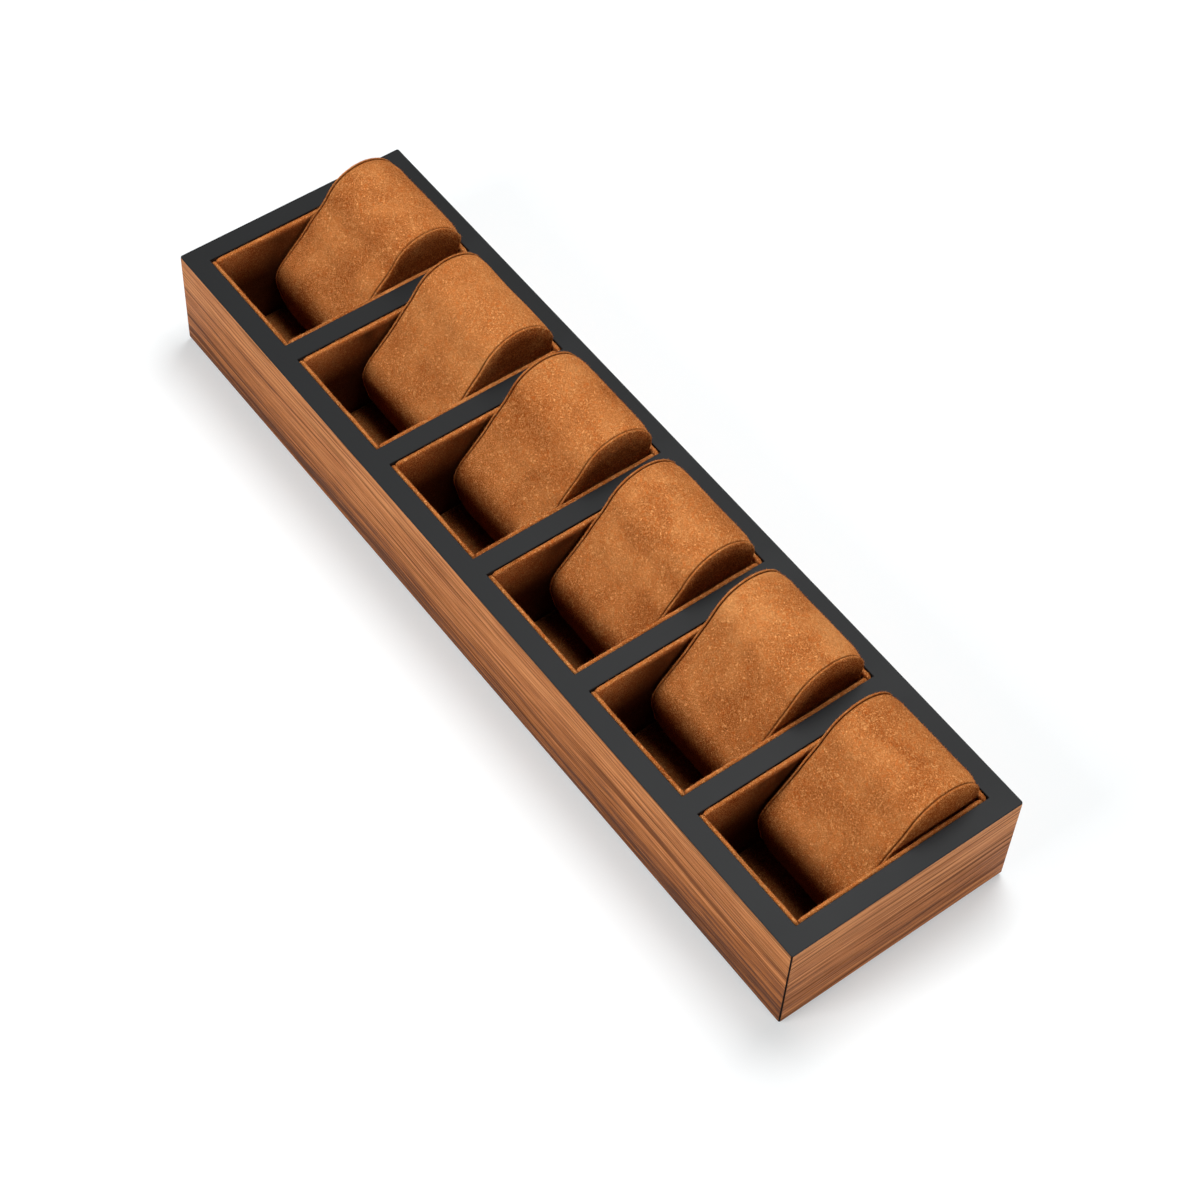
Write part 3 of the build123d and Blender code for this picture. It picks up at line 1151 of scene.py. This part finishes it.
def strip_mesh(number, sizes):
    """The padded strip's start: a closed band round the foam, and which vertices stay put."""
    points, normals = pillow_outline(number, sizes.row_spacing)
    centre, _ = pillow_place(number)
    low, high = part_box(f"pillow_wrap_{number}")
    half_strip = (high.x - low.x) / 2
    outside, turned = strip_columns(half_strip, sizes)
    inside = [(half_strip * share, sizes.skin, 1.0) for share in (-0.96, -0.5, 0, 0.5, 0.96)]
    crown = max(point.y for point in points)
    nose = min(point.x for point in points)
    crown_foot, nose_start, nose_end = crown - 0.015, nose + 0.002, nose + 0.022
    shaded_below, lit_above, painted_shade_tone, open_nap = 0.022, 0.037, 1.5, 0.35
    lumps, lump_height, seed = 60, 0.0003, 7.3 * number
    mesh = suede_shape()
    pinned = []
    rings = []
    for point, normal in zip(points, normals):
        # Painted light over the crown.
        over_crown = smooth_rise(point.y, crown_foot, crown)
        to_nose = 1 - smooth_rise(point.x, nose_start, nose_end)
        # Painted shade low on the nose: the nap darkens and its tone drops below lit_above.
        under = 1 - smooth_rise(point.y, shaded_below, lit_above)
        drawn = 1 - sizes.crown_ease * over_crown - sizes.nose_ease * to_nose
        raised = sizes.crown_painted_light[number - 1] * over_crown - painted_shade_tone * under
        ring = []
        for index, (x, depth, seam) in enumerate([*outside, *inside]):
            held = index < turned or index >= len(outside) - turned
            in_seam = depth > 0 and index < len(outside)
            place = point - normal * depth * (1 - sizes.nose_ease * to_nose if in_seam else 1)
            if not held:
                spot = Vector((x, place.x, place.y))
                place += normal * (lump_height * ripple(spot, lumps, seed, 0))
            shade = max(seam * drawn, sizes.painted_under_shade * under)
            place = (centre + x, place.x, place.y)
            ring.append(suede_vertex(mesh, place, shade, open_nap * (1 - seam), raised))
            pinned.append(held)
        rings.append(ring)
    skin_rings(mesh, [*rings, rings[0]])
    bmesh.ops.recalc_face_normals(mesh, faces=mesh.faces)
    return mesh, pinned


def swollen_by_cloth(meshes, pins, sizes):
    """Blow the padded strips up as cloth, all at once, and return each one's new places.

    Cloth is tuned for things as large as seat cushions, so the strips are simulated enlarged.
    """
    enlarge = 10.0
    cloth_settings = {
        "quality": 6,
        "mass": 0.3,
        "tension_stiffness": 12,
        "compression_stiffness": 12,
        "shear_stiffness": 6,
        "bending_stiffness": 0.6,
        "air_damping": 2.0,
        "vertex_group_mass": "sewn",
        "use_pressure": True,
        "uniform_pressure_force": sizes.pressure,
    }
    holders = []
    for mesh, pinned in zip(meshes, pins):
        data = bpy.data.meshes.new("strip under pressure")
        mesh.to_mesh(data)
        data.transform(Matrix.Scale(enlarge, 4))
        holder = new_object("strip under pressure", data)
        group = holder.vertex_groups.new(name="sewn")
        group.add([i for i, held in enumerate(pinned) if held], 1.0, "REPLACE")
        cloth = holder.modifiers.new("cloth", "CLOTH")
        for key, value in cloth_settings.items():
            setattr(cloth.settings, key, value)
        cloth.settings.effector_weights.gravity = 0
        cloth.point_cache.frame_start = 1
        cloth.point_cache.frame_end = sizes.steps
        holders.append(holder)
    scene = bpy.context.scene
    for step in range(1, sizes.steps + 1):
        scene.frame_set(step)
    graph = bpy.context.evaluated_depsgraph_get()
    places = []
    for holder in holders:
        blown = holder.evaluated_get(graph).to_mesh()
        places.append([vert.co / enlarge for vert in blown.vertices])
        data = holder.data
        bpy.data.objects.remove(holder)
        bpy.data.meshes.remove(data)
    scene.frame_set(1)
    return places


def held_to_slack(mesh, places, slack):
    """Move a strip to its blown-up places, but by no more than its slack and never inwards."""
    mesh.normal_update()
    moves = []
    for vert, blown in zip(mesh.verts, places):
        move = blown - vert.co
        move -= vert.normal * min(0.0, move.dot(vert.normal))
        length = move.length
        if length:
            move *= slack * math.tanh(length / slack) / length
        moves.append(move)
    for vert, move in zip(mesh.verts, moves):
        vert.co += move


class TRAY_OT_pillow_strips(bpy.types.Operator):
    """Make the padded suede strip that runs round each pillow"""

    bl_idname = "tray.pillow_strips"
    bl_label = "Pillow strips"

    def execute(self, context):
        sizes = context.scene.tray_pillow
        meshes, pins = zip(*(strip_mesh(number, sizes) for number in compartments))
        for mesh, places in zip(meshes, swollen_by_cloth(meshes, pins, sizes)):
            held_to_slack(mesh, places, sizes.slack)
        for number, mesh in zip(compartments, meshes):
            self.seated(mesh, number, sizes.seat_gap)
            strip = new_piece(
                f"pillow_strip_{number}", mesh, f"pillow_{number}",
                [f"pillow_wrap_{number}"], pillow_suede(),
            )
            fine = strip.modifiers.new("fine", "SUBSURF")
            fine.levels = fine.render_levels = 1
        return {"FINISHED"}

    def seated(self, mesh, number, gap):
        """Keep the strip off the floor pad below it and the board behind it."""
        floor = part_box(f"floor_pad_{number}")[1].z + gap
        low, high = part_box(f"back_liner_{number}")
        for vert in mesh.verts:
            vert.co.z = max(vert.co.z, floor)
            if vert.co.z < high.z + gap:
                vert.co.y = min(vert.co.y, low.y - gap)


class TRAY_OT_pillow_cheeks(bpy.types.Operator):
    """Make the two suede cheeks of each pillow"""

    bl_idname = "tray.pillow_cheeks"
    bl_label = "Pillow cheeks"

    def execute(self, context):
        row_spacing = 0.001
        for number in compartments:
            outline = pillow_outline(number, row_spacing)
            mesh = suede_shape()
            for side in (-1, 1):
                self.cheek(mesh, number, side, outline)
            bmesh.ops.recalc_face_normals(mesh, faces=mesh.faces)
            cheeks = new_piece(
                f"pillow_sides_{number}", mesh, f"pillow_{number}",
                [f"pillow_cheeks_{number}"], pillow_suede(),
            )
        return {"FINISHED"}

    def levels(self, half_width, radius):
        """(x, inset, seam, nap) over a cheek: round its rolled rim and up its low dome."""
        arc_steps, rim_seam, dome_nap = 8, 0.6, 0.4
        levels = []
        for step in range(arc_steps + 1):
            angle = math.pi * step / arc_steps
            x = half_width - radius - radius * math.cos(angle)
            # The rim's fold darkens: partly its own darkness, partly painted shade in the crease.
            seam = rim_seam * max(0.0, math.cos(angle))
            levels.append((x, radius - radius * math.sin(angle), seam, 1.0 if step else 0.0))
        dome, dome_width = 0.0003, 0.0026
        for inset in (0.0004, 0.001, 0.0018, dome_width):
            rise = dome * math.sin(math.pi / 2 * inset / dome_width)
            levels.append((half_width + rise, radius + inset, 0.0, dome_nap))
        return levels

    def cheek(self, mesh, number, side, outline):
        """One cheek: the rings of its rim and dome, with a flat face within them."""
        sizes = bpy.context.scene.tray_pillow
        centre, half_width = pillow_place(number)
        waves, waver, open_from = 250, 0.0001, 0.001
        low_shade, painted_shade_tone, more_painted_shade_low = 0.35, 1.2, 1.0
        rings = []
        for x, inset, seam, nap in self.levels(half_width, sizes.rim_radius):
            opened = min(1.0, max(0.0, inset / open_from))
            ring = []
            for point, normal in zip(*outline):
                spot = Vector((side * x + centre, point.x, point.y))
                place = point - normal * (inset - waver * noise.noise(spot * waves))
                # Painted shade: the whole cheek's tone is lowered, and low down it darkens further.
                low = 1 - smooth_rise(place.y, sizes.cheek_shade_from, sizes.cheek_shade_to)
                shade = max(seam, low_shade * low * opened)
                raised = -(painted_shade_tone + more_painted_shade_low * low) * opened
                place = (centre + side * x, place.x, place.y)
                ring.append(suede_vertex(mesh, place, shade, nap, raised))
            rings.append(ring)
        skin_and_close(mesh, rings)


def fibre_group(name):
    """Geometry nodes that stand short leaning fibres on a surface, by its stored Nap."""
    group, start, end = new_group(
        name,
        "GeometryNodeTree",
        [
            ("Surface", "Geometry"),
            ("Fibre density", "Float", 1e6),
            ("Fibre length", "Float", 0.0007),
            ("Fibre width", "Float", 0.0001),
            ("Fibre lean", "Float", 1.5),
            ("Seed", "Int", 1),
            ("Finish", "Material"),
        ],
        [("Fibres", "Geometry")],
    )
    given = start.outputs

    def step(kind, inputs, **settings):
        """The outputs of a new node of the group."""
        return new_node(group, kind, inputs, **settings).outputs

    nap = step("GeometryNodeInputNamedAttribute", {"Name": "Nap"}, data_type="FLOAT")
    density = maths(group, "MULTIPLY", given["Fibre density"], nap["Attribute"])
    spots = step(
        "GeometryNodeDistributePointsOnFaces",
        {"Mesh": given["Surface"], "Density": density, "Seed": given["Seed"]},
    )
    root = maths(group, "MULTIPLY", given["Fibre width"], 0.5)
    cone = step(
        "GeometryNodeMeshCone",
        {"Vertices": 3, "Radius Top": 0.0, "Radius Bottom": root, "Depth": given["Fibre length"]},
        fill_type="NONE",
    )
    # Painted shade: a fibre's root is darker than its tip, and its tip a little lighter than the nap.
    height = step("ShaderNodeSeparateXYZ", {0: step("GeometryNodeInputPosition", {})[0]})["Z"]
    grown = maths(group, "DIVIDE", height, given["Fibre length"])
    fibre = step(
        "GeometryNodeStoreNamedAttribute",
        {"Geometry": cone["Mesh"], "Name": "Raised", "Value": scaled(group, grown, 1.1, -0.8)},
        data_type="FLOAT",
        domain="POINT",
    )
    aside = step(
        "FunctionNodeRandomValue",
        {0: (-1, -1, -1), 1: (1, 1, 1), "Seed": given["Seed"]},
        data_type="FLOAT_VECTOR",
    )
    leaning = step(
        "ShaderNodeVectorMath", {0: aside[0], "Scale": given["Fibre lean"]}, operation="SCALE"
    )
    pointing = vector_maths(group, "ADD", spots["Normal"], leaning[0])
    turned = step("FunctionNodeAlignRotationToVector", {"Vector": pointing}, axis="Z")
    size = step(
        "FunctionNodeRandomValue", {2: 0.5, 3: 1.2, "Seed": given["Seed"]}, data_type="FLOAT"
    )
    standing = step(
        "GeometryNodeInstanceOnPoints",
        {
            "Points": spots["Points"],
            "Instance": fibre["Geometry"],
            "Rotation": turned["Rotation"],
            "Scale": size[1],
        },
    )
    real = step("GeometryNodeRealizeInstances", {"Geometry": standing["Instances"]})
    finished = step(
        "GeometryNodeSetMaterial", {"Geometry": real["Geometry"], "Material": given["Finish"]}
    )
    feed(group, end, {"Fibres": finished["Geometry"]})
    return group


def fibres_on(name, surfaces, body, seed, material):
    """A piece of loose fibres that stand on some suede pieces of one body."""
    finish = bpy.context.scene.tray_suede
    ground = bmesh.new()
    for surface in surfaces:
        ground.from_mesh(bpy.data.objects[surface].data)
    data = mesh_data("napped surfaces", ground)
    holder = new_object("napped surfaces", data)
    nodes = holder.modifiers.new("fibres", "NODES")
    nodes.node_group = shared(bpy.data.node_groups, "Loose fibres", fibre_group)
    values = {"Seed": seed, "Finish": material}
    for size in ("density", "length", "width", "lean"):
        values[f"Fibre {size}"] = getattr(finish, f"fibre_{size}")
    for item in nodes.node_group.interface.items_tree:
        if item.item_type == "SOCKET" and item.name in values:
            nodes[item.identifier] = values[item.name]
    graph = bpy.context.evaluated_depsgraph_get()
    fibres = bpy.data.meshes.new_from_object(
        holder.evaluated_get(graph), preserve_all_data_layers=True, depsgraph=graph
    )
    bpy.data.objects.remove(holder)
    bpy.data.meshes.remove(data)
    return piece_of(name, fibres, body)


class TRAY_OT_fibres(bpy.types.Operator):
    """Stand loose fibres on the suede of the lining's edges and the pillows"""

    bl_idname = "tray.fibres"
    bl_label = "Loose fibres"

    def execute(self, context):
        kinds = ("front_board", "back_board", "side_boards")
        boards = [f"{kind}_{number}" for number in compartments for kind in kinds]
        fibres_on("lining_fibres", boards, "tray", compartment_count + 1, lining_suede())
        for number in compartments:
            napped = [f"pillow_strip_{number}", f"pillow_sides_{number}"]
            fibres_on(
                f"pillow_fibres_{number}", napped, f"pillow_{number}", number, pillow_suede()
            )
        return {"FINISHED"}


class TRAY_PT_panel(bpy.types.Panel):
    """Lists the steps that dress the tray, with their settings"""

    bl_idname = "TRAY_PT_panel"
    bl_label = "Watch display tray"
    bl_space_type = "VIEW_3D"
    bl_region_type = "UI"
    bl_category = "Watch tray"

    def draw(self, context):
        for operator in operators:
            self.layout.operator(operator.bl_idname)
        for name, kind in settings_of_scene.items():
            box = self.layout.box()
            box.label(text=kind.__doc__)
            for key in kind.__annotations__:
                box.prop(getattr(context.scene, name), key)


settings_of_scene = {
    "tray_stage": StageSettings,
    "tray_case": CaseFinish,
    "tray_suede": SuedeFinish,
    "tray_lining": LiningSizes,
    "tray_pillow": PillowSizes,
}
operators = (
    TRAY_OT_stage,
    TRAY_OT_case,
    TRAY_OT_veneers,
    TRAY_OT_mitre_splines,
    TRAY_OT_top_plate,
    TRAY_OT_lining,
    TRAY_OT_floor_pads,
    TRAY_OT_pillow_cores,
    TRAY_OT_pillow_strips,
    TRAY_OT_pillow_cheeks,
    TRAY_OT_fibres,
)


def register():
    for kind in (*settings_of_scene.values(), *operators, TRAY_PT_panel):
        bpy.utils.register_class(kind)
    for name, kind in settings_of_scene.items():
        setattr(bpy.types.Scene, name, PointerProperty(type=kind))


def unregister():
    for name in settings_of_scene:
        delattr(bpy.types.Scene, name)
    for kind in reversed((*settings_of_scene.values(), *operators, TRAY_PT_panel)):
        bpy.utils.unregister_class(kind)


def main():
    register()
    for operator in operators:
        group, name = operator.bl_idname.split(".")
        getattr(getattr(bpy.ops, group), name)()


if __name__ == "__main__":
    main()
